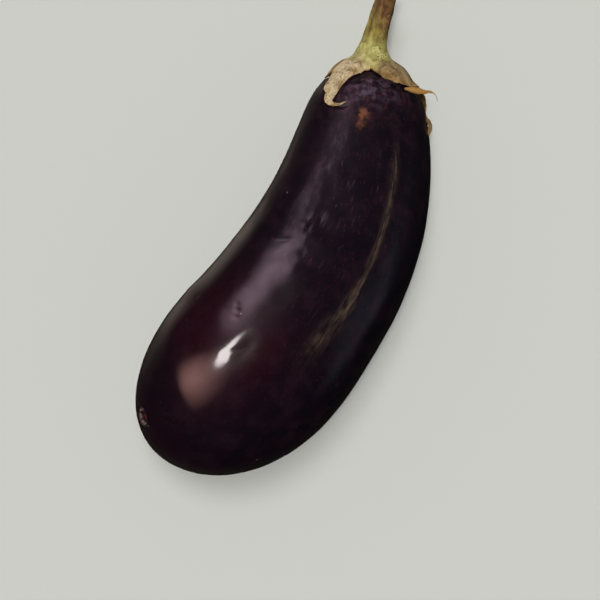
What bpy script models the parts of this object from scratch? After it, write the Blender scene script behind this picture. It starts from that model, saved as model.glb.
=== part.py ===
"""Eggplant lying on its side: a fruit, the dry calyx on its crown and the cut stem.

Metres, +Z up. The origin is the middle of the flat strip that the fruit rests on. The stem points
along +Y, the fruit bends towards -X, and the blossom end is the low end in Y.
"""

import math
from functools import lru_cache

import bmesh
import bpy
import numpy as np

MM = 0.001
GAP = 0.3 * MM  # clearance between pieces that touch

# The fruit's middle line from the blossom end to the crown: (x, y, half width there, lift) in mm.
# Lift is the underside's height: below 0 the fruit is pressed flat against the surface.
SPINE = [
    (-71, -51, 0, 40),
    (-47.5, -44, 35.5, 2),
    (-25.5, -31, 41.5, -1.5),
    (-4, -6, 40.5, -1.5),
    (14.5, 24, 37.5, -1.5),
    (25, 55, 33, -1.3),
    (29, 80, 27.5, 4.5),
    (30.5, 96, 18.5, 16.3),
    (31, 102, 0, 36),
]
DIMPLE_PLACE = 2 * MM  # the blossom scar's length up from the blossom end
DIMPLE_DEPTH = 1.5 * MM
DIMPLE_RADIUS = 5 * MM

FRUIT_RINGS = 60
FRUIT_SEGMENTS = 48

# Each lobe of the calyx: (angle round the stem in degrees, length down the fruit in mm).
LOBES = [(52, 28), (145, 26), (203, 34), (268, 26), (332, 27)]
LOBE_HALF_ANGLE = 42  # degrees
LOBE_TAPER = 1.5  # over 1 makes the lobe's sides hollow and its tip narrow
CALYX_NOTCH = 10 * MM  # length from the crown that the calyx covers between its lobes
CROWN_DEPTH = 22 * MM  # the rounded crown's depth along the middle line
CROWN_ARC = 26 * MM  # its mean radius, which turns a length over the skin into an angle
CALYX_THICKNESS = 1.4 * MM
CALYX_RINGS = 12
CALYX_SEGMENTS = 90
SEAT_RADIUS = 7.5 * MM  # the raised flat middle that carries the stem
SEAT_HEIGHT = 4 * MM
SEAT_SLOPE = 1.5

# The stem's middle line from the calyx to the cut: (along the crown's axis, sideways, radius) in mm.
STEM_POINTS = [(0, 0, 7.4), (3, 0.3, 6.4), (8, 1.2, 5.4), (15, 2.6, 4.6), (22, 4, 4), (27, 5, 4.2), (31, 6, 4.9)]
STEM_RIDGES = 5
STEM_RIDGE_DEPTH = 0.35 * MM
STEM_RINGS = 26
STEM_SEGMENTS = 40


class SmoothLine:
    """A cubic spline through (knot, value) pairs that runs out as a parabola at both ends."""

    def __init__(self, knots, values):
        self.knots = np.array(knots, float)
        self.values = np.array(values, float)
        steps = np.diff(self.knots)
        rises = np.diff(self.values) / steps
        size = len(self.knots)
        matrix = np.eye(size)
        matrix[0, 1] = matrix[-1, -2] = -1
        right = np.zeros(size)
        for i in range(1, size - 1):
            matrix[i, i - 1 : i + 2] = steps[i - 1], 2 * (steps[i - 1] + steps[i]), steps[i]
            right[i] = 6 * (rises[i] - rises[i - 1])
        self.bends = np.linalg.solve(matrix, right)

    def piece(self, x):
        i = int(np.clip(np.searchsorted(self.knots, x, side="right") - 1, 0, len(self.knots) - 2))
        step = self.knots[i + 1] - self.knots[i]
        low, high = self.bends[i], self.bends[i + 1]
        first = (self.values[i + 1] - self.values[i]) / step - step * (2 * low + high) / 6
        return i, x - self.knots[i], first, low, (high - low) / step

    def value(self, x):
        i, d, first, second, third = self.piece(x)
        return self.values[i] + d * (first + d * (second / 2 + d * third / 6))

    def slope(self, x):
        _, d, first, second, third = self.piece(x)
        return first + d * (second + d * third / 2)


def chord_lengths(points):
    steps = np.linalg.norm(np.diff(np.array(points, float), axis=0), axis=1)
    return np.concatenate([[0.0], np.cumsum(steps)])


spine = np.array([(x, y, width + lift) for x, y, width, lift in SPINE]) * MM
half_widths = np.array([width for _, _, width, _ in SPINE]) * MM
stations = chord_lengths(spine)
fruit_length = stations[-1]
middle_lines = [SmoothLine(stations, spine[:, axis]) for axis in range(3)]
# The square of the half width is the smooth one: its straight run to 0 is what rounds both ends.
square_line = SmoothLine(stations, half_widths**2)


@lru_cache(None)
def half_width(s):
    return math.sqrt(max(square_line.value(s), 0.0))


@lru_cache(None)
def middle(s):
    """A point of the fruit's middle line."""
    return np.array([line.value(s) for line in middle_lines])


@lru_cache(None)
def directions(s):
    """Unit vectors along the fruit, sideways to the left of that, and upwards."""
    along = np.array([line.slope(s) for line in middle_lines])
    along /= np.linalg.norm(along)
    side = np.cross([0.0, 0.0, 1.0], along)
    side /= np.linalg.norm(side)
    return along, side, np.cross(along, side)


def skin_point(s, angle, lift=0.0):
    """A point of the skin at a length along the fruit and an angle round it, lifted off the skin."""
    along, side, up = directions(s)
    outwards = math.cos(angle) * side + math.sin(angle) * up
    radius = half_width(s)
    square_slope = square_line.slope(s) / 2
    normal = outwards * radius - along * square_slope
    point = middle(s) + outwards * radius + normal * (lift / np.linalg.norm(normal))
    point[2] = max(point[2], 0.0)
    return point


def grid(name, columns, rows, place, material):
    """A closed body from a grid: u runs once round it and v from its first pole to its last."""
    mesh = bmesh.new()
    bmesh.ops.create_grid(mesh, x_segments=columns, y_segments=rows, size=1)
    for vertex in mesh.verts:
        u = (vertex.co.x + 1) / 2
        v = (vertex.co.y + 1) / 2
        vertex.co = place(u, v)
    bmesh.ops.remove_doubles(mesh, verts=mesh.verts, dist=0.01 * MM)
    bmesh.ops.recalc_face_normals(mesh, faces=mesh.faces)
    data = bpy.data.meshes.new(name)
    mesh.to_mesh(data)
    mesh.free()
    data.shade_smooth()
    data.set_sharp_from_angle(angle=math.radians(50))
    data.materials.append(material)
    piece = bpy.data.objects.new(name, data)
    bpy.context.scene.collection.objects.link(piece)
    return piece


def make_material(name, colour, roughness, coat=0.0):
    material = bpy.data.materials.new(name)
    material.use_nodes = True
    shader = material.node_tree.nodes["Principled BSDF"]
    shader.inputs["Base Color"].default_value = (*colour, 1.0)
    shader.inputs["Roughness"].default_value = roughness
    shader.inputs["Metallic"].default_value = 0.0
    shader.inputs["Coat Weight"].default_value = coat
    material.diffuse_color = (*colour, 1.0)
    return material


def build_fruit():
    along, _, _ = directions(0.0)
    scar = skin_point(DIMPLE_PLACE, math.pi / 2)

    def place(u, v):
        s = fruit_length * (1 - math.cos(math.pi * v)) / 2
        point = skin_point(s, 2 * math.pi * u)
        away = np.linalg.norm(point - scar) / DIMPLE_RADIUS
        return point + along * DIMPLE_DEPTH * math.exp(-(away**2))

    skin = make_material("purple_skin", (0.020, 0.006, 0.016), 0.16, 0.6)
    return grid("fruit", FRUIT_SEGMENTS, FRUIT_RINGS, place, skin)


def lobe_reach(angle):
    """How far the calyx reaches down the fruit at this angle."""
    reach = CALYX_NOTCH
    for centre, length in LOBES:
        off = (math.degrees(angle) - centre + 180) % 360 - 180
        share = max(1 - abs(off) / LOBE_HALF_ANGLE, 0.0)
        reach = max(reach, CALYX_NOTCH + (length * MM - CALYX_NOTCH) * share**LOBE_TAPER)
    return reach


def crown_depth(reach):
    """How far below the crown a point is, from its length measured over the rounded end."""
    return CROWN_DEPTH * (1 - math.cos(min(reach / CROWN_ARC, math.pi / 2)))


def calyx_point(share, angle, lift):
    """A point of the calyx from its middle (share 0) to its hem (share 1), above the skin."""
    reach = share * lobe_reach(angle)
    point = skin_point(fruit_length - crown_depth(reach), angle, lift)
    along, _, _ = directions(fruit_length)
    if lift > GAP:
        offset = point - middle(fruit_length)
        height = np.dot(offset, along)
        away = np.linalg.norm(offset - along * height)
        seat = SEAT_HEIGHT - max(away - SEAT_RADIUS, 0.0) * SEAT_SLOPE
        point += along * max(seat - height, 0.0)
    point[2] = max(point[2], 0.0)
    return point


def build_calyx():
    def place(u, v):
        angle = 2 * math.pi * u
        if v <= 0.5:
            return calyx_point((v * 2) ** 0.9, angle, GAP + CALYX_THICKNESS)
        return calyx_point((2 - v * 2) ** 0.9, angle, GAP)

    husk = make_material("dry_husk", (0.40, 0.27, 0.12), 0.75)
    return grid("calyx", CALYX_SEGMENTS, 2 * CALYX_RINGS, place, husk)


def build_stem():
    along, side, up = directions(fruit_length)
    start = middle(fruit_length) + along * (SEAT_HEIGHT + GAP)
    points = np.array(STEM_POINTS) * MM
    line_side = SmoothLine(points[:, 0], points[:, 1])
    line_radius = SmoothLine(points[:, 0], points[:, 2])
    length = points[-1, 0]

    def place(u, v):
        angle = 2 * math.pi * u
        cap = 1 / (STEM_RINGS - 1)
        inward = min(v / cap, (1 - v) / cap, 1.0)
        forward = length * min(max((v - cap) / (1 - 2 * cap), 0.0), 1.0)
        ridge = STEM_RIDGE_DEPTH * math.cos(STEM_RIDGES * angle)
        radius = (line_radius.value(forward) + ridge) * max(inward, 0.0)
        centre = start + along * forward - side * line_side.value(forward)
        return centre + radius * (math.cos(angle) * side + math.sin(angle) * up)

    green = make_material("green_stem", (0.16, 0.15, 0.05), 0.6)
    return grid("stem", STEM_SEGMENTS, STEM_RINGS, place, green)


def main():
    for old in list(bpy.data.objects):
        bpy.data.objects.remove(old, do_unlink=True)
    build_fruit()
    build_calyx()
    build_stem()


main()
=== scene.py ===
import math

import bmesh
import bpy
import numpy as np
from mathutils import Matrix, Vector, noise


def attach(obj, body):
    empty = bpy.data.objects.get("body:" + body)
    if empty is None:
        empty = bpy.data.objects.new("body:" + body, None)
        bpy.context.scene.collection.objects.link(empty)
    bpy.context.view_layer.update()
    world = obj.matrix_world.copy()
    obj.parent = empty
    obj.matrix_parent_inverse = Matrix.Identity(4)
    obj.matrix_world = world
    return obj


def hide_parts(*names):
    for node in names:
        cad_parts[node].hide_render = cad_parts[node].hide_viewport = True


mm = 0.001

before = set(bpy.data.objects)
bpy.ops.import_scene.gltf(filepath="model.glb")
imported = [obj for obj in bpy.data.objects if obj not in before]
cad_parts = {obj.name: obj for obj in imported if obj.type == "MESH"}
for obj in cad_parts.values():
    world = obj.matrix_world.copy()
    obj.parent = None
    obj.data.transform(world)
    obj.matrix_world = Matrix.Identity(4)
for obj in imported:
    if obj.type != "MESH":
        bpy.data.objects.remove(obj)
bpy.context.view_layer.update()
print("frame loaded")


class SmoothLine:
    # cubic spline that runs out as a parabola at both ends, on arrays of knots
    def __init__(self, knots, values):
        self.knots = np.array(knots, float)
        self.values = np.array(values, float)
        steps = np.diff(self.knots)
        rises = np.diff(self.values) / steps
        size = len(self.knots)
        matrix = np.eye(size)
        matrix[0, 1] = matrix[-1, -2] = -1
        right = np.zeros(size)
        for i in range(1, size - 1):
            matrix[i, i - 1 : i + 2] = steps[i - 1], 2 * (steps[i - 1] + steps[i]), steps[i]
            right[i] = 6 * (rises[i] - rises[i - 1])
        bends = np.linalg.solve(matrix, right)
        self.first = rises - steps * (2 * bends[:-1] + bends[1:]) / 6
        self.second = bends[:-1]
        self.third = (bends[1:] - bends[:-1]) / steps

    def piece(self, x):
        i = np.clip(np.searchsorted(self.knots, x, side="right") - 1, 0, len(self.knots) - 2)
        return i, x - self.knots[i]

    def value(self, x):
        i, d = self.piece(x)
        return self.values[i] + d * (self.first[i] + d * (self.second[i] / 2 + d * self.third[i] / 6))

    def slope(self, x):
        i, d = self.piece(x)
        return self.first[i] + d * (self.second[i] + d * self.third[i] / 2)


def unit(vectors):
    return vectors / np.maximum(np.linalg.norm(vectors, axis=-1, keepdims=True), 1e-12)


def chordLengths(points):
    return np.concatenate([[0.0], np.cumsum(np.linalg.norm(np.diff(points, axis=0), axis=1))])


def perlin(points, size, seed):
    # noise in about -1..1 with features of this size in metres
    shift = Vector((seed, seed * 1.7, seed * 0.3))
    scaled = np.asarray(points) / size
    return np.array([noise.noise(Vector(p) + shift) for p in scaled])


def ramp(x, low, high):
    # a smooth step from 0 at low to 1 at high, which may be the smaller of the two
    t = np.clip((x - low) / (high - low), 0.0, 1.0)
    return t * t * (3 - 2 * t)


def closedGrid(name, columns, rows, place, material):
    # u runs once round the piece and v from pole to pole; place gives points and named values
    shape = bmesh.new()
    bmesh.ops.create_grid(shape, x_segments=columns, y_segments=rows, size=1)
    shape.verts.ensure_lookup_table()
    flat = np.array([vertex.co[:2] for vertex in shape.verts])
    points, marks = place((flat[:, 0] + 1) / 2, (flat[:, 1] + 1) / 2)
    layers = {key: shape.verts.layers.float.new(key) for key in marks}
    for i, vertex in enumerate(shape.verts):
        vertex.co = points[i]
        for key, layer in layers.items():
            vertex[layer] = float(marks[key][i])
    bmesh.ops.remove_doubles(shape, verts=shape.verts, dist=0.002 * mm)
    bmesh.ops.recalc_face_normals(shape, faces=shape.faces)
    data = bpy.data.meshes.new(name)
    shape.to_mesh(data)
    shape.free()
    data.shade_smooth()
    data.materials.append(material)
    piece = bpy.data.objects.new(name, data)
    bpy.context.scene.collection.objects.link(piece)
    return piece


class Nodes:
    # a material's node tree with short calls for the nodes that it needs
    def __init__(self, name):
        self.material = bpy.data.materials.new(name)
        self.material.use_nodes = True
        self.tree = self.material.node_tree
        self.shader = self.tree.nodes["Principled BSDF"]

    def add(self, kind, inputs=(), **settings):
        node = self.tree.nodes.new(kind)
        for key, value in settings.items():
            setattr(node, key, value)
        for key, value in dict(inputs).items():
            self.put(node.inputs[key], value)
        return node

    def put(self, socket, value):
        if isinstance(value, bpy.types.NodeSocket):
            self.tree.links.new(value, socket)
        else:
            socket.default_value = value

    def setShader(self, **values):
        for key, value in values.items():
            self.put(self.shader.inputs[key.replace("_", " ")], value)

    def place(self):
        return self.add("ShaderNodeTexCoord").outputs["Object"]

    def mark(self, name):
        return self.add("ShaderNodeAttribute", attribute_name=name).outputs["Fac"]

    def noise(self, where, size, detail=3.0, roughness=0.5):
        inputs = {"Vector": where, "Scale": 1 / size, "Detail": detail, "Roughness": roughness}
        return self.add("ShaderNodeTexNoise", inputs).outputs["Fac"]

    def range(self, value, low, high, start=0.0, end=1.0):
        inputs = {"Value": value, "From Min": low, "From Max": high, "To Min": start, "To Max": end}
        return self.add("ShaderNodeMapRange", inputs, interpolation_type="SMOOTHSTEP").outputs["Result"]

    def math(self, operation, first, second=0.5):
        node = self.add("ShaderNodeMath", {0: first, 1: second}, operation=operation)
        return node.outputs["Value"]

    def mix(self, share, first, second, blend="MIX"):
        node = self.add("ShaderNodeMix", data_type="RGBA", blend_type=blend)
        self.put(node.inputs["Factor"], share)
        colours = [socket for socket in node.inputs if socket.type == "RGBA"]
        self.put(colours[0], first)
        self.put(colours[1], second)
        return [socket for socket in node.outputs if socket.type == "RGBA"][0]

    def bump(self, height, distance, strength=1.0, normal=None):
        inputs = {"Height": height, "Distance": distance, "Strength": strength}
        if normal is not None:
            inputs["Normal"] = normal
        return self.add("ShaderNodeBump", inputs).outputs["Normal"]


def srgb(red, green, blue):
    def linear(value):
        value /= 255
        return value / 12.92 if value <= 0.04045 else ((value + 0.055) / 1.055) ** 2.4

    return (linear(red), linear(green), linear(blue), 1.0)


fruit = {
    "spine": [  # x, y, half width and underside's height, in mm, from the blossom end to the crown
        (-71, -51, 0, 40),
        (-47.5, -44, 35.5, 2),
        (-25.5, -31, 41.5, -1.5),
        (-4, -6, 40.5, -1.5),
        (14.5, 24, 37.5, -1.5),
        (25, 55, 33, -1.3),
        (29, 80, 27.5, 4.5),
        (30.5, 96, 18.5, 16.3),
        (31, 102, 0, 36),
    ],
    "columns": 250,
    "rows": 350,
    "scarPlace": 0.9 * mm,
    "scarRadius": 4.1 * mm,
    "scarDepth": 1.7 * mm,
    "dents": [  # along in mm, angle in degrees, length, width and depth in mm, and turn in degrees
        (57, 78, 2.2, 0.7, 0.16, 40),
        (53, 76, 1.8, 0.6, 0.13, -60),
        (60, 82, 5, 3.0, 0.30, 0),
        (116.5, 71, 5.0, 0.9, 0.55, 10),
        (120, 75, 4.0, 0.8, 0.60, 5),
        (112, 77, 6.0, 3.5, 0.30, 20),
        (107, 70, 7.0, 3.5, 0.26, -15),
        (102, 64, 3.5, 1.0, 0.24, 30),
        (106, 60, 4.0, 1.1, 0.20, 60),
        (119.5, 87, 6.0, 4.5, 0.34, 0),
        (126, 80, 8.0, 3.5, 0.26, 0),
        (135, 74, 9.0, 2.5, 0.22, 8),
        (143, 84, 9.0, 2.5, 0.22, -6),
        (69, 63, 1.0, 1.0, 0.22, 0),
        (66.5, 65, 0.9, 0.9, 0.18, 0),
        (71, 60.5, 0.8, 0.8, 0.16, 0),
        (84, 44, 0.9, 0.9, 0.18, 0),
        (62, 30, 1.0, 0.9, 0.2, 0),
        (152, 96, 11, 3.0, 0.22, 0),
        (95, 130, 16, 4.0, 0.24, 0),
        (62, 122, 12, 4.0, 0.20, 15),
        (88, 240, 9, 6.0, 0.35, 10),
        (130, 300, 7, 4.0, 0.30, -20),
        (60, 200, 6, 4.0, 0.25, 30),
    ],
    "swellings": [  # along in mm, angle in degrees, and length, width and height in mm
        (63, 14, 10, 9, 0.9),
        (105, 117, 45, 4.0, 0.42),
        (140, 100, 30, 6, 0.25),
        (45, 60, 18, 16, 0.4),
    ],
}

spine = np.array([(x, y, width + lift) for x, y, width, lift in fruit["spine"]]) * mm
halfWidths = np.array([width for _, _, width, _ in fruit["spine"]]) * mm
stations = chordLengths(spine)
fruitLength = stations[-1]
middleLines = [SmoothLine(stations, spine[:, axis]) for axis in range(3)]
squareLine = SmoothLine(stations, halfWidths**2)


def fruitFrame(s):
    s = np.atleast_1d(np.asarray(s, float))
    middle = np.stack([line.value(s) for line in middleLines], -1)
    along = unit(np.stack([line.slope(s) for line in middleLines], -1))
    side = unit(np.cross([0.0, 0.0, 1.0], along))
    return middle, along, side, np.cross(along, side)


def skin(s, angle, lift=0.0):
    # points of the plain skin and the way out of it, at lengths along the fruit and angles round it
    middle, along, side, up = fruitFrame(s)
    radius = np.sqrt(np.maximum(squareLine.value(s), 0.0))[..., None]
    outwards = np.cos(angle)[..., None] * side + np.sin(angle)[..., None] * up
    normal = unit(outwards * radius - along * (squareLine.slope(s) / 2)[..., None])
    return middle + outwards * radius + normal * np.asarray(lift)[..., None], normal


def spot(s, angle, along, around, length, width, turn=0.0):
    # a soft spot on the skin: 1 at its middle, falling off over its length and width in mm
    radius = np.sqrt(np.maximum(squareLine.value(s), 0.0))
    down = (s - along * mm) / mm
    across = (np.degrees(angle) - around + 180) % 360 - 180
    across = np.radians(across) * radius / mm
    c, k = math.cos(math.radians(turn)), math.sin(math.radians(turn))
    a, b = down * c + across * k, across * c - down * k
    return np.exp(-((a / length) ** 2) - (b / width) ** 2)


def tanStreakAndSheen(s, angle):
    # the dry tan line down the fruit's shoulder, with a painted warm reflection along it, wider and fainter
    # towards the bulb
    radius = np.sqrt(np.maximum(squareLine.value(s), 0.0)) / mm
    down = s / mm
    middle = 117 - 6 * ramp(down, 100, 65)
    width = 1.3 + 2.2 * ramp(down, 115, 80)
    across = np.radians(np.degrees(angle) - middle) * radius
    ends = ramp(down, 62, 82) * ramp(down, 172, 150) * (0.45 + 0.55 * ramp(down, 70, 100))
    return np.exp(-((across / width) ** 2)) * ends


def placeFruit(u, v):
    s = fruitLength * (1 - np.cos(np.pi * v)) / 2
    angle = 2 * np.pi * u
    plain, normal = skin(s, angle)
    belly = np.sin(np.pi * v)
    lift = 0.16 * np.cos(5 * angle + 0.8 + s * 9) + 0.08 * np.cos(9 * angle + 2.0 - s * 12)
    lift = lift * belly
    lift += 0.30 * perlin(plain, 30 * mm, 3.1) + 0.10 * perlin(plain, 11 * mm, 7.7)
    lift += 0.012 * perlin(plain, 2.2 * mm, 1.3)
    nearCrown = ramp(s, fruitLength - 20 * mm, fruitLength - 6 * mm)
    lift += nearCrown * (0.45 * perlin(plain, 5 * mm, 15.5) + 0.30 * perlin(plain, 2.3 * mm, 6.1))
    wrinkled = spot(s, angle, 114, 73, 16, 9)
    leathery = spot(s, angle, 128, 82, 38, 22)
    lift += wrinkled * 0.26 * perlin(plain, 3.8 * mm, 9.2)
    lift += spot(s, angle, 112, 72, 34, 17) * 0.34 * perlin(plain, 9 * mm, 2.9)
    stretched = np.stack([np.cos(angle) * 30 * mm, np.sin(angle) * 30 * mm, s * 0.45], -1)
    lift += leathery * 0.24 * perlin(stretched, 5.0 * mm, 4.2)
    for along, around, length, width, depth, turn in fruit["dents"]:
        lift -= depth * spot(s, angle, along, around, length, width, turn)
    for along, around, length, width, height in fruit["swellings"]:
        lift += height * spot(s, angle, along, around, length, width)
    points = plain + normal * (lift * mm)[:, None]

    scarMiddle, scarNormal = skin(np.array([fruit["scarPlace"]]), np.array([math.pi / 2]))
    away = np.linalg.norm(plain - scarMiddle, axis=1) / fruit["scarRadius"]
    puckers = 1 + 0.25 * perlin(plain, 1.6 * mm, 2.2)
    dimple = -np.exp(-(away**2)) * puckers + 0.28 * np.exp(-(((away - 1.25) / 0.3) ** 2))
    points += scarNormal * (dimple * fruit["scarDepth"])[:, None]
    points[:, 2] = np.maximum(points[:, 2], 0.0)

    marks = {
        "scar": np.exp(-((away / 0.55) ** 2)),
        "rim": np.exp(-(((away - 0.85) / 0.16) ** 2)),
        "scab": spot(s, angle, 179.5, 85, 3.8, 2.8, 10) + 0.5 * spot(s, angle, 173, 84, 4, 2.4, 10),
        "redness": ramp(110 * mm - s, 0, 80 * mm),
        "dull": np.minimum(0.8 * leathery + 0.9 * nearCrown, 1.0),
        "crown": ramp(s, fruitLength - 34 * mm, fruitLength - 12 * mm) * ramp(np.cos(angle - 1.5), 0.2, 0.7),
        # painted reflection: a red glow round the bulb's highlight
        "paintedRedGlow": spot(s, angle, 58, 50, 26, 30) + 0.7 * spot(s, angle, 62, 92, 12, 9),
        # painted shade in the two slits of the wrinkled patch
        "slitShade": spot(s, angle, 116.5, 71, 4.5, 0.5, 10) + spot(s, angle, 120, 75, 3.5, 0.5, 5),
        # painted shade on one side of the fruit, from the bulb up
        "shady": ramp(np.cos(angle - 3.2), -0.15, 0.75) * ramp(s, 5 * mm, 40 * mm) * 0.75,
        # painted highlights on the bumps at the crown
        "crownGlints": spot(s, angle, 192, 90, 7, 13),
        # a dry streak, partly a painted reflection
        "tanStreakAndSheen": tanStreakAndSheen(s, angle),
        "neck": ramp(s, 98 * mm, 128 * mm) * 0.85,
        "around": angle * 0.03,
        "down": s,
    }
    return points, marks


def skinMaterial():
    n = Nodes("glossyAubergineSkin")
    where = n.place()
    broad = n.noise(where, 45 * mm, 2)
    fine = n.noise(where, 3 * mm, 4)
    dull = n.mark("dull")
    overSkin = n.add("ShaderNodeCombineXYZ", {"X": n.mark("around"), "Y": n.mark("down")}).outputs["Vector"]
    drawn = n.add("ShaderNodeMapping", {"Vector": overSkin, "Scale": (1.0, 0.10, 1.0)}).outputs["Vector"]
    fibres = n.noise(drawn, 0.9 * mm, 4, 0.6)
    turned = {"Vector": overSkin, "Rotation": (0.0, 0.0, 0.5), "Scale": (1.0, 0.12, 1.0)}
    crossed = n.add("ShaderNodeMapping", turned).outputs["Vector"]
    drawnWide = n.add("ShaderNodeMapping", {"Vector": overSkin, "Scale": (1.0, 0.35, 1.0)}).outputs["Vector"]

    redness = n.math("MULTIPLY", n.mark("redness"), n.range(broad, 0.35, 0.65, 0.4, 1.0))
    colour = n.mix(redness, srgb(20, 12, 21), srgb(27, 10, 21))
    # painted reflection: the skin is painted redder round the bulb's highlight, as the red glow beside it
    colour = n.mix(n.math("MULTIPLY", n.mark("paintedRedGlow"), 0.6), colour, srgb(42, 8, 18))
    # painted shade: that side of the fruit is painted darker and bluer
    colour = n.mix(n.mark("shady"), colour, srgb(13, 11, 19))
    blotches = n.math("MULTIPLY", n.range(n.noise(where, 9 * mm, 4, 0.6), 0.42, 0.70), 0.6)
    colour = n.mix(blotches, colour, srgb(38, 20, 30))
    flecks = n.range(n.noise(where, 1.1 * mm, 3, 0.7), 0.60, 0.76)
    flecks = n.math("MULTIPLY", flecks, n.math("MULTIPLY_ADD", n.mark("crown"), 0.45))
    colour = n.mix(flecks, colour, srgb(96, 36, 44))
    rust = n.math("MULTIPLY", n.mark("crown"), n.range(n.noise(where, 4 * mm, 4, 0.65), 0.45, 0.75))
    colour = n.mix(n.math("MULTIPLY", rust, 0.6), colour, srgb(70, 38, 42))
    # painted shade: the two slits are painted nearly black
    colour = n.mix(n.math("MULTIPLY", n.mark("slitShade"), 0.8), colour, srgb(8, 5, 8))
    lines = n.math("MULTIPLY", n.range(fibres, 0.58, 0.72), n.math("MULTIPLY", dull, 0.5))
    colour = n.mix(lines, colour, srgb(96, 74, 84))
    scuffs = n.range(n.noise(crossed, 0.9 * mm, 4, 0.65), 0.60, 0.74)
    scuffs = n.math("MULTIPLY", scuffs, n.range(n.noise(where, 8 * mm, 2), 0.42, 0.62))
    colour = n.mix(n.math("MULTIPLY", scuffs, n.math("MULTIPLY", dull, 0.5)), colour, srgb(112, 92, 98))
    # painted highlights: lilac glints on the bumps at the crown
    paintedGlints = n.math("MULTIPLY", n.range(n.noise(where, 3 * mm, 1, 0.5), 0.42, 0.70), n.mark("crownGlints"))
    colour = n.mix(n.math("MULTIPLY", paintedGlints, 0.7), colour, srgb(92, 72, 90))
    # a dry tan streak, with a painted warm reflection along it
    tanAndSheen = n.math("MULTIPLY", n.mark("tanStreakAndSheen"), n.range(fibres, 0.34, 0.64, 0.05, 1.0))
    tanAndSheen = n.math("MULTIPLY", tanAndSheen, n.range(n.noise(where, 7 * mm, 3), 0.36, 0.58, 0.35, 1.0))
    colour = n.mix(n.math("MULTIPLY", tanAndSheen, 0.85), colour, srgb(92, 76, 62))

    pores = n.add("ShaderNodeTexVoronoi", {"Vector": where, "Scale": 1 / (7 * mm), "Randomness": 1.0})
    poreDots = n.range(pores.outputs["Distance"], 0.04, 0.06, 1.0, 0.0)
    rare = n.range(n.noise(where, 9 * mm, 1), 0.56, 0.60)
    poreDots = n.math("MULTIPLY", n.math("MULTIPLY", poreDots, rare), 0.8)
    colour = n.mix(poreDots, colour, srgb(150, 130, 120))

    ragged = n.math("MULTIPLY", n.mark("scab"), n.range(fine, 0.3, 0.65, 0.3, 1.5))
    scab = n.range(ragged, 0.10, 1.1)
    colour = n.mix(n.math("MULTIPLY", scab, 0.85), colour, srgb(120, 72, 48))
    colour = n.mix(n.range(n.mark("scar"), 0.3, 0.9), colour, srgb(70, 30, 32))
    rim = n.math("MULTIPLY", n.mark("rim"), n.range(n.noise(where, 1.5 * mm, 2), 0.35, 0.6, 0.05, 0.5))
    colour = n.mix(rim, colour, srgb(176, 150, 138))

    rough = n.range(n.noise(where, 14 * mm, 3), 0.3, 0.7, 0.27, 0.38)
    rough = n.math("ADD", rough, n.math("MULTIPLY", n.math("ADD", scab, tanAndSheen), 0.25))
    rough = n.math("ADD", rough, n.math("MULTIPLY", n.mark("neck"), 0.10))
    worn = n.math("ADD", n.mark("neck"), n.math("ADD", scab, tanAndSheen))
    patchy = n.range(n.noise(drawnWide, 7 * mm, 3, 0.6), 0.35, 0.65, -0.25, 0.25)
    coat = n.range(n.math("ADD", worn, patchy), 0.0, 1.0, 1.0, 0.08)
    n.setShader(Base_Color=colour, Roughness=rough, Specular_IOR_Level=0.13)
    n.setShader(Coat_Weight=coat, Coat_Roughness=0.10, Coat_IOR=1.5)
    n.setShader(Normal=n.bump(fine, 0.02 * mm, 0.6))
    scratched = n.math("MULTIPLY", fibres, n.math("MULTIPLY_ADD", dull, 0.8))
    smallBumps = n.bump(n.noise(where, 1.6 * mm, 3), 0.010 * mm, 0.5)
    n.setShader(Coat_Normal=n.bump(scratched, 0.03 * mm, 0.5, smallBumps))
    return n.material


def buildFruit():
    piece = closedGrid("fruitSkin", fruit["columns"], fruit["rows"], placeFruit, skinMaterial())
    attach(piece, "root")
    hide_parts("fruit")
    print("fruit built")


calyx = {
    "hem": [  # angle round the stem in degrees and the hem's distance from the stem over the skin in mm
        (5, 10.5), (20, 17), (34, 26), (41, 29.5), (45, 34), (48.5, 44), (51, 36), (53.5, 30), (55, 22),
        (58, 18.5), (69, 13.3), (82, 10), (90, 8.8),
        (100, 11.2), (112, 16), (123, 18.8), (140, 21.0), (152, 22), (160, 22.5), (166, 22.0), (174, 19),
        (180, 14.5),
        (188, 20), (196, 30), (203, 37), (210, 29), (220, 20), (232, 13), (240, 10.5),
        (252, 15), (264, 24), (272, 29), (280, 24), (293, 15), (307, 10.5),
        (318, 15), (328, 19), (337, 23), (344, 19), (354, 14), (365, 10.5),
    ],
    "lobes": [  # left edge, middle line and right edge in degrees; where it bends, how far; how it peels off
        {"from": 5, "tip": 48.5, "to": 90, "hook": 30.5, "bend": 0.22, "peel": 0.0},
        {"from": 90, "tip": 160, "to": 180, "hook": 50, "bend": 0.0, "peel": 2.0},
        {"from": 180, "tip": 203, "to": 240, "hook": 50, "bend": 0.0, "peel": 1.2},
        {"from": 240, "tip": 272, "to": 307, "hook": 50, "bend": 0.0, "peel": 0.0},
        {"from": 307, "tip": 337, "to": 365, "hook": 22, "bend": -0.12, "peel": 0.0},
    ],
    "crownDepth": 22.0,  # mm, as are the next two
    "crownArc": 26.0,
    "thickness": 0.5,
    "columns": 420,
    "rows": 120,
    "flare": [  # distance from the stem's axis and height over the crown in mm, over a lobe
        (0, 11), (4, 10.8), (6, 9.6), (7.9, 5.7), (10, 3.6), (13.6, 1.7), (16.8, -1.2), (20, -5.5), (26, -16),
    ],
    "flareNotch": [  # the same between two lobes
        (0, 11), (4, 10.8), (6, 9), (7.5, 4.6), (9, 1.6), (10.5, -0.8), (13, -4), (20, -16), (26, -30),
    ],
}


def lobeOf(degrees):
    # the values of the lobe at each angle
    number = np.zeros(len(degrees), int)
    for i, lobe in enumerate(calyx["lobes"]):
        number = np.where((degrees >= lobe["from"]) & (degrees <= lobe["to"]), i, number)
    return {key: np.array([lobe[key] for lobe in calyx["lobes"]])[number] for key in calyx["lobes"][0]}


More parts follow.
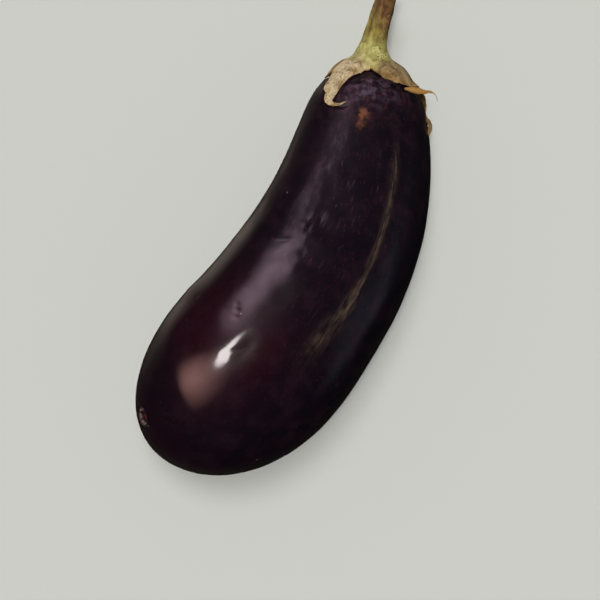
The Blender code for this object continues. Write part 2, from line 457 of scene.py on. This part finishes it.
def placeCalyx(u, v):
    angle = 2 * np.pi * u
    degrees = np.degrees(angle)
    degrees = np.where(degrees < calyx["hem"][0][0], degrees + 360, degrees)
    hemAngles, hemReaches = np.array(calyx["hem"]).T
    reach = np.interp(degrees, hemAngles, hemReaches)
    notchness = ramp(reach, 17, 11)
    lobe = lobeOf(degrees)
    outer = v <= 0.5
    t = np.where(outer, v * 2, 2 - v * 2)
    circle = np.stack([np.cos(angle), np.sin(angle), 0 * angle], -1)
    ragged = perlin(circle, 0.09, 4.0) * 1.0 + perlin(circle, 0.028, 8.0) * 0.75
    reach = reach + ragged * ramp(np.abs(degrees - lobe["tip"]), 1, 6)
    a = t * reach
    arc = calyx["crownArc"]
    b = np.radians(degrees - lobe["tip"]) * arc * np.sin(np.minimum(a / arc, math.pi / 2))
    past = np.maximum(a - lobe["hook"], 0.0)
    bend = lobe["bend"]
    theta = bend * past
    safe = np.where(bend == 0, 1.0, bend)
    down = np.minimum(a, lobe["hook"]) + np.where(bend == 0, past, np.sin(theta) / safe) - b * np.sin(theta)
    across = np.where(bend == 0, 0.0, (1 - np.cos(theta)) / safe) + b * np.cos(theta)
    radiusDown = np.maximum(arc * np.sin(np.minimum(np.maximum(down, 0.01) / arc, math.pi / 2)), 0.01)
    where = np.where(a < 3, angle, np.radians(lobe["tip"]) + across / radiusDown)
    depth = calyx["crownDepth"] * (1 - np.cos(np.minimum(np.maximum(down, 0.0) / arc, math.pi / 2)))
    depth += np.maximum(down - arc * math.pi / 2, 0.0)
    s = fruitLength - depth * mm
    base, _ = skin(s, where)
    hem = ramp(t, 0.72, 1.0)
    away = ramp(a, 17, 27)
    wrinkles = 0.40 * perlin(base, 3.2 * mm, 6.0) + 0.18 * perlin(base, 1.3 * mm, 3.0)
    veins = np.cos((degrees - lobe["tip"]) * 0.45) * 0.12
    lift = 0.55 + 0.4 * t + hem * (0.45 + 0.55 * perlin(base, 5 * mm, 2.0)) + lobe["peel"] * away
    lift += 0.8 * ramp(past, 0, 4) * (bend != 0) + (wrinkles + veins) * ramp(t, 0.15, 0.5)
    lift = np.maximum(lift, 0.25)
    inner = np.maximum(lift - calyx["thickness"], 0.12)
    inner = 0.12 + (inner - 0.12) * ramp(t, 0.3, 0.6)
    lift = np.where(outer, lift, inner)
    points, _ = skin(s, where, lift * mm)
    crown, along, _, _ = fruitFrame(fruitLength)
    offset = points - crown
    height = offset @ along[0]
    radial = offset - height[:, None] * along
    rho = np.linalg.norm(radial, axis=1) / mm
    flareLobe = SmoothLine(*zip(*calyx["flare"])).value(np.minimum(rho, 26))
    flareNotch = SmoothLine(*zip(*calyx["flareNotch"])).value(np.minimum(rho, 26))
    flare = flareLobe + (flareNotch - flareLobe) * notchness
    flare = flare + 0.12 * perlin(base, 2.5 * mm, 12.0)
    raised = np.where(outer & (t < 0.999), np.maximum(height / mm, flare), height / mm)
    points = points + along * ((raised * mm - height))[:, None]
    points[:, 2] = np.maximum(points[:, 2], 0.05 * mm)
    marks = {
        "green": ramp(rho, 13, 6),
        "hem": hem,
        "inside": np.where(outer, 0.0, 1.0),
        # the left lobe, painted paler as the lit one
        "pale": ramp(degrees, 100, 75),
        "orange": np.zeros(len(u)),
    }
    return points, marks


def huskMaterial():
    n = Nodes("dryHusk")
    where = n.place()
    broad = n.noise(where, 5 * mm, 5, 0.65)
    fine = n.noise(where, 1.2 * mm, 4, 0.7)
    # painted light and shade: the left lobe is painted paler, as lit, and the other lobes darker, as shaded
    shadedLobes = n.mix(n.range(broad, 0.36, 0.60), srgb(92, 70, 42), srgb(164, 138, 98))
    pale = n.mix(n.range(broad, 0.34, 0.56), srgb(142, 110, 68), srgb(216, 194, 156))
    colour = n.mix(n.mark("pale"), shadedLobes, pale)
    grain = n.range(fine, 0.3, 0.7, 0.78, 1.16)
    grey = n.add("ShaderNodeCombineColor", {0: grain, 1: grain, 2: grain}).outputs["Color"]
    colour = n.mix(1.0, colour, grey, "MULTIPLY")
    lime = n.mix(n.range(n.noise(where, 3 * mm, 3), 0.35, 0.65), srgb(158, 150, 78), srgb(200, 194, 122))
    green = n.math("MULTIPLY", n.mark("green"), n.range(broad, 0.3, 0.55, 0.7, 1.0))
    colour = n.mix(green, colour, lime)
    speckles = n.range(n.noise(where, 0.9 * mm, 3, 0.75), 0.52, 0.60)
    patches = n.range(n.noise(where, 4.5 * mm, 2), 0.46, 0.58)
    dark = n.math("MULTIPLY", n.math("MULTIPLY", speckles, patches), 0.85)
    colour = n.mix(dark, colour, srgb(54, 42, 26))
    colour = n.mix(n.math("MULTIPLY", n.mark("hem"), 0.3), colour, srgb(176, 134, 70))
    colour = n.mix(n.math("MULTIPLY", n.mark("orange"), 0.75), colour, srgb(172, 124, 58))
    colour = n.mix(n.math("MULTIPLY", n.mark("inside"), 0.7), colour, srgb(84, 58, 34))
    n.setShader(Base_Color=colour, Roughness=0.78, Specular_IOR_Level=0.3)
    height = n.math("ADD", n.math("MULTIPLY", fine, 0.6), n.noise(where, 2.6 * mm, 3))
    n.setShader(Normal=n.bump(height, 0.4 * mm, 0.8))
    return n.material


def buildCalyx(husk):
    piece = closedGrid("driedCalyx", calyx["columns"], calyx["rows"], placeCalyx, husk)
    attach(piece, "root")
    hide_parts("calyx")
    print("calyx built")


# The calyx's two loose ends: points along the middle of each, with its half width and half thickness
# there, all in mm, and how it is shaded.
strips = {
    "rolledTip": {
        "points": [(45.0, 91.3, 48.2, 0.5, 0.4), (47.5, 90.9, 48.6, 1.1, 0.8), (50.5, 90.4, 48.2, 1.4, 1.0),
                   (54.0, 90.0, 47.0, 0.9, 0.7), (56.8, 90.1, 45.6, 0.45, 0.35), (58.2, 89.4, 45.0, 0.2, 0.2),
                   (59.3, 87.8, 44.6, 0.14, 0.14), (59.5, 86.0, 44.2, 0.12, 0.12)],
        "shade": {"orange": 1.0, "inside": 0.0},
    },
    "rearCurl": {
        "points": [(50.2, 90.5, 37.0, 0.5, 0.4), (52.0, 87.5, 37.0, 1.0, 0.4), (53.7, 83.6, 37.0, 1.0, 0.4),
                   (54.4, 80.4, 37.4, 0.9, 0.4), (56.4, 78.0, 38.0, 0.8, 0.5), (57.0, 75.6, 38.0, 0.9, 0.45),
                   (56.5, 73.4, 37.6, 0.8, 0.4), (56.1, 71.6, 37.2, 0.3, 0.3)],
        "shade": {"orange": 0.0, "inside": 0.75},
    },
}


def buildStrip(name, material):
    knots = np.array(strips[name]["points"])
    steps = chordLengths(knots[:, :3])
    lines = [SmoothLine(steps, knots[:, i]) for i in range(5)]

    def place(u, v):
        end = 0.04
        inward = np.sqrt(1 - (1 - np.clip(np.minimum(v, 1 - v) / end, 0, 1)) ** 2 * 0.9999)
        along = steps[-1] * v
        centre = np.stack([lines[i].value(along) for i in range(3)], -1)
        way = unit(np.stack([lines[i].slope(along) for i in range(3)], -1))
        across = unit(np.cross(way, [0.0, 0.0, 1.0]))
        up = np.cross(across, way)
        rough = 1 + 0.25 * perlin(centre + across * np.cos(2 * np.pi * u)[:, None], 1.4, 3.0)
        width = np.maximum(lines[3].value(along), 0.1) * inward * rough
        thickness = np.maximum(lines[4].value(along), 0.1) * inward * rough
        points = centre + across * (width * np.cos(2 * np.pi * u))[:, None]
        points = points + up * (thickness * np.sin(2 * np.pi * u))[:, None]
        zero = np.zeros(len(u))
        shades = {key: zero + value for key, value in strips[name]["shade"].items()}
        return points * mm, {"green": zero, "hem": zero + 0.5, "pale": zero, **shades}

    piece = closedGrid(name, 40, 160, place, material)
    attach(piece, "root")
    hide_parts("calyx")


stem = {
    "start": 3.6,  # mm above the crown
    "points": [  # length up from its start, sideways and half width in mm
        (0, 0, 7.4),
        (3, 0.2, 6.6),
        (8, 0.8, 5.6),
        (15, 2.0, 4.9),
        (22, 3.4, 4.6),
        (27, 4.4, 4.3),
        (31, 5.6, 4.9),
    ],
    "ridges": 5,
    "ridgeDepth": 0.38,  # mm
    "columns": 160,
    "rows": 220,
}


def placeStem(u, v):
    crown, along, side, up = (part[0] for part in fruitFrame(fruitLength))
    points = np.array(stem["points"])
    length = points[-1, 0]
    sideways = SmoothLine(points[:, 0], points[:, 1])
    thickness = SmoothLine(points[:, 0], points[:, 2])
    cap = 0.05
    inward = np.clip(np.minimum(v / cap, (1 - v) / cap), 0, 1)
    inward = np.sqrt(1 - (1 - inward) ** 2 * 0.999)
    forward = length * np.clip((v - cap) / (1 - 2 * cap), 0, 1)
    angle = 2 * np.pi * u
    drift = 0.5 * np.sin(forward / 9)
    ridge = np.cos(stem["ridges"] * angle + drift) + 0.5 * np.cos(3 * angle - 1.0 + forward / 14)
    around = np.stack([np.cos(angle) * 0.004, np.sin(angle) * 0.004, forward * mm], -1)
    stretched = around * np.array([1, 1, 0.22])
    rough = 0.16 * perlin(stretched, 0.9 * mm, 2.0) + 0.10 * perlin(around, 1.5 * mm, 5.0)
    rough += 0.22 * perlin(around, 5 * mm, 8.0)
    radius = (thickness.value(forward) + stem["ridgeDepth"] * ridge + rough) * inward
    hollow = np.where(v > 0.9, 0.15 * perlin(around * 3, 1 * mm, 4.0) - 0.9 * (1 - inward), 0)
    centre = crown + along * ((stem["start"] + forward + hollow) * mm)[:, None]
    centre = centre - side * (sideways.value(forward) * mm)[:, None]
    outwards = np.cos(angle)[:, None] * side + np.sin(angle)[:, None] * up
    result = centre + outwards * (radius * mm)[:, None]
    marks = {
        "length": forward / length,
        "cut": np.where(v > 0.9, ramp(1 - inward, 0.15, 0.4), 0.0),
        "groove": 0.5 - 0.33 * ridge,
        # the side of the stalk that is painted as shaded
        "paintedShadeSide": 0.5 - 0.5 * np.cos(angle),
    }
    return result, marks


def stalkMaterial():
    n = Nodes("ridgedStalk")
    where = n.place()
    fine = n.noise(where, 1.4 * mm, 4, 0.65)
    mottle = n.noise(where, 3.5 * mm, 4, 0.6)
    stretched = n.add("ShaderNodeMapping", {"Vector": where, "Scale": (1.0, 0.25, 1.0)}).outputs["Vector"]
    drawn = n.math("MULTIPLY", n.noise(stretched, 1.8 * mm, 4, 0.6), 0.6)
    streaks = n.math("ADD", drawn, n.math("MULTIPLY", mottle, 0.4))
    green = n.mix(n.range(streaks, 0.38, 0.62), srgb(120, 104, 40), srgb(170, 152, 76))
    brown = n.mix(n.range(streaks, 0.38, 0.62), srgb(80, 50, 26), srgb(128, 92, 50))
    # browner towards the cut, and on the shaded side as painted shade
    upwards = n.math("ADD", n.mark("length"), n.math("MULTIPLY", n.mark("paintedShadeSide"), 0.40))
    upwards = n.math("ADD", upwards, n.math("MULTIPLY", n.noise(where, 4 * mm, 3), 0.3))
    colour = n.mix(n.range(upwards, 0.62, 1.05), green, brown)
    lime = n.mix(n.range(mottle, 0.35, 0.65), srgb(158, 150, 78), srgb(200, 194, 122))
    colour = n.mix(n.range(n.mark("length"), 0.42, 0.08), colour, lime)
    shade = n.math("MULTIPLY", n.range(n.mark("groove"), 0.55, 0.95), 0.35)
    colour = n.mix(shade, colour, srgb(70, 52, 26))
    # painted shade: the stalk's shaded side is painted darker, more so higher up
    higher = n.range(n.mark("length"), 0.0, 0.35, 0.25, 0.65)
    paintedShadeSide = n.math("MULTIPLY", n.range(n.mark("paintedShadeSide"), 0.52, 0.95), higher)
    colour = n.mix(paintedShadeSide, colour, srgb(82, 62, 30))
    spots = n.range(n.noise(where, 1.2 * mm, 2, 0.6), 0.62, 0.67)
    spots = n.math("MULTIPLY", spots, n.range(n.mark("paintedShadeSide"), 0.3, 0.7, 0.25, 0.85))
    colour = n.mix(spots, colour, srgb(56, 36, 22))
    flakes = n.math("MULTIPLY", n.range(fine, 0.60, 0.68), n.range(n.mark("paintedShadeSide"), 0.4, 0.8, 0.0, 0.5))
    colour = n.mix(flakes, colour, srgb(196, 168, 128))
    colour = n.mix(n.mark("cut"), colour, n.mix(fine, srgb(120, 92, 56), srgb(196, 172, 128)))
    n.setShader(Base_Color=colour, Roughness=0.62, Specular_IOR_Level=0.35)
    n.setShader(Normal=n.bump(n.math("ADD", streaks, fine), 0.25 * mm, 0.6))
    return n.material


def buildStem():
    piece = closedGrid("cutStem", stem["columns"], stem["rows"], placeStem, stalkMaterial())
    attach(piece, "root")
    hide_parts("stem")
    print("stem built")


studio = {
    "floorSize": 30.0,
    "floorColour": (207, 208, 202),
    "cameraHeight": 0.84,
    "lens": 110.0,
    "lampDistance": 1.0,
    "sunDistance": 2.0,
    "fill": 0.25,  # the world's strength for soft light
    "reflectedColour": (212, 196, 182),  # the world's colour in reflections
}

# The suns light everything but reflections: the way to each one, its energy and its width in degrees.
suns = {
    "topSun": {"way": (-0.05, 0.0, 1.0), "energy": 1.45, "angle": 7},
    "backSun": {"way": (-0.05, 0.27, 1.0), "energy": 1.15, "angle": 20},
}

# Soft boxes that only make reflections: the way to each one from the fruit, its size in metres, how
# bright it looks, its colour, and the share of it that is even before it fades to its edge.
softBoxes = {
    "keyWindow": {
        "way": (-0.35, 0.14, 0.90), "size": (0.46, 0.27),
        "glow": 17, "colour": (1.0, 0.93, 0.92), "even": 0.6,
    },
    "rosyPanel": {
        "way": (-0.76, -0.12, 0.66), "size": (1.0, 1.55),
        "glow": 3.6, "colour": (1.0, 0.52, 0.45), "even": 0.0,
    },
    "longPanel": {
        "way": (-0.46, 0.66, 0.60), "size": (0.50, 1.15),
        "glow": 2.7, "colour": (1.0, 0.70, 0.86), "even": 0.0,
    },
    "tanStrip": {
        "way": (0.80, 0.07, 0.57), "size": (1.2, 0.16),
        "glow": 0.7, "colour": (1.0, 0.80, 0.55), "even": 0.1,
    },
    "crownPanel": {
        "way": (0.05, 0.95, 0.35), "size": (0.9, 0.6),
        "glow": 3.0, "colour": (0.95, 0.72, 0.90), "even": 0.1,
    },
    "blueSide": {
        "way": (0.97, -0.10, 0.05), "size": (1.6, 0.7),
        "glow": 0.22, "colour": (0.78, 0.82, 1.0), "even": 0.1,
    },
}


def buildFloor():
    shape = bmesh.new()
    bmesh.ops.create_grid(shape, x_segments=2, y_segments=2, size=studio["floorSize"] / 2)
    data = bpy.data.meshes.new("studioFloor")
    shape.to_mesh(data)
    shape.free()
    n = Nodes("paleFloor")
    n.setShader(Base_Color=srgb(*studio["floorColour"]), Roughness=0.95, Specular_IOR_Level=0.0)
    data.materials.append(n.material)
    floor = bpy.data.objects.new("studioFloor", data)
    floor.visible_glossy = False
    bpy.context.scene.collection.objects.link(floor)


def addLamp(name, data, way, distance):
    lamp = bpy.data.objects.new(name, data)
    lamp.location = Vector(way).normalized() * distance
    lamp.rotation_euler = (-lamp.location).to_track_quat("-Z", "Y").to_euler()
    lamp.visible_camera = False
    bpy.context.scene.collection.objects.link(lamp)
    return lamp


def fade(tree, socket, low, high, start, end):
    # a smooth change from start to end while the socket goes from low to high
    node = tree.nodes.new("ShaderNodeMapRange")
    node.interpolation_type = "SMOOTHSTEP"
    tree.links.new(socket, node.inputs["Value"])
    for key, value in zip(("From Min", "From Max", "To Min", "To Max"), (low, high, start, end)):
        node.inputs[key].default_value = value
    return node.outputs["Result"]


def softEdges(data, box):
    # full strength in the middle of the box, none at its edge
    tree = data.node_tree
    place = tree.nodes.new("ShaderNodeNewGeometry").outputs["Parametric"]
    away = tree.nodes.new("ShaderNodeVectorMath")
    away.operation = "DISTANCE"
    tree.links.new(place, away.inputs[0])
    away.inputs[1].default_value = (0.5, 0.5, 0.0)
    strength = fade(tree, away.outputs["Value"], box["even"] / 2, 0.5, 1.0, 0.0)
    tree.links.new(strength, tree.nodes["Emission"].inputs["Strength"])


def buildLights():
    for name, sun in suns.items():
        data = bpy.data.lights.new(name, "SUN")
        data.energy = sun["energy"]
        data.angle = math.radians(sun["angle"])
        addLamp(name, data, sun["way"], studio["sunDistance"]).visible_glossy = False
    for name, box in softBoxes.items():
        data = bpy.data.lights.new(name, "AREA")
        data.shape = "RECTANGLE"
        data.size, data.size_y = box["size"]
        data.energy = box["glow"] * math.pi * data.size * data.size_y
        data.color = box["colour"]
        data.use_nodes = True
        softEdges(data, box)
        addLamp(name, data, box["way"], studio["lampDistance"]).visible_diffuse = False


def buildWorld():
    # the camera sees an even pale ground; reflections see it only low down and away from the front
    world = bpy.data.worlds.new("studioWorld")
    world.use_nodes = True
    tree = world.node_tree
    back = tree.nodes["Background"]
    warm = tree.nodes.new("ShaderNodeMix")
    warm.data_type = "RGBA"
    path = tree.nodes.new("ShaderNodeLightPath")
    split = tree.nodes.new("ShaderNodeSeparateXYZ")
    tree.links.new(tree.nodes.new("ShaderNodeTexCoord").outputs["Generated"], split.inputs["Vector"])

    def times(first, second):
        node = tree.nodes.new("ShaderNodeMath")
        node.operation = "MULTIPLY"
        tree.links.new(first, node.inputs[0])
        tree.links.new(second, node.inputs[1])
        return node.outputs["Value"]

    below = fade(tree, split.outputs["Z"], -1.0, -0.85, 0.5, 1.0)
    low = times(fade(tree, split.outputs["Z"], -0.85, -0.35, 1.0, 0.0), below)
    behind = fade(tree, split.outputs["Y"], 0.0, 0.52, 0.03, 0.5)
    left = fade(tree, split.outputs["X"], -0.3, 0.4, 1.0, 0.40)
    shiny = times(times(low, behind), left)
    mix = tree.nodes.new("ShaderNodeMix")
    tree.links.new(path.outputs["Is Glossy Ray"], mix.inputs["Factor"])
    mix.inputs["A"].default_value = studio["fill"]
    tree.links.new(shiny, mix.inputs["B"])
    tree.links.new(path.outputs["Is Glossy Ray"], warm.inputs["Factor"])
    colours = [socket for socket in warm.inputs if socket.type == "RGBA"]
    colours[0].default_value = srgb(*studio["floorColour"])
    colours[1].default_value = srgb(*studio["reflectedColour"])
    tree.links.new([socket for socket in warm.outputs if socket.type == "RGBA"][0], back.inputs["Color"])
    final = tree.nodes.new("ShaderNodeMix")
    tree.links.new(path.outputs["Is Camera Ray"], final.inputs["Factor"])
    tree.links.new(mix.outputs["Result"], final.inputs["A"])
    final.inputs["B"].default_value = 1.0
    tree.links.new(final.outputs["Result"], back.inputs["Strength"])
    bpy.context.scene.world = world


def buildCamera():
    data = bpy.data.cameras.new("lookingDown")
    data.lens = studio["lens"]
    data.sensor_width = 36
    camera = bpy.data.objects.new("lookingDown", data)
    camera.location = (0, 0, studio["cameraHeight"])
    bpy.context.scene.collection.objects.link(camera)
    bpy.context.scene.camera = camera
    bpy.context.scene.view_settings.view_transform = "Standard"


buildFruit()
husk = huskMaterial()
buildCalyx(husk)
for name in strips:
    buildStrip(name, husk)
print("loose ends of the calyx built")
buildStem()
buildFloor()
buildLights()
buildWorld()
buildCamera()
print("studio built")
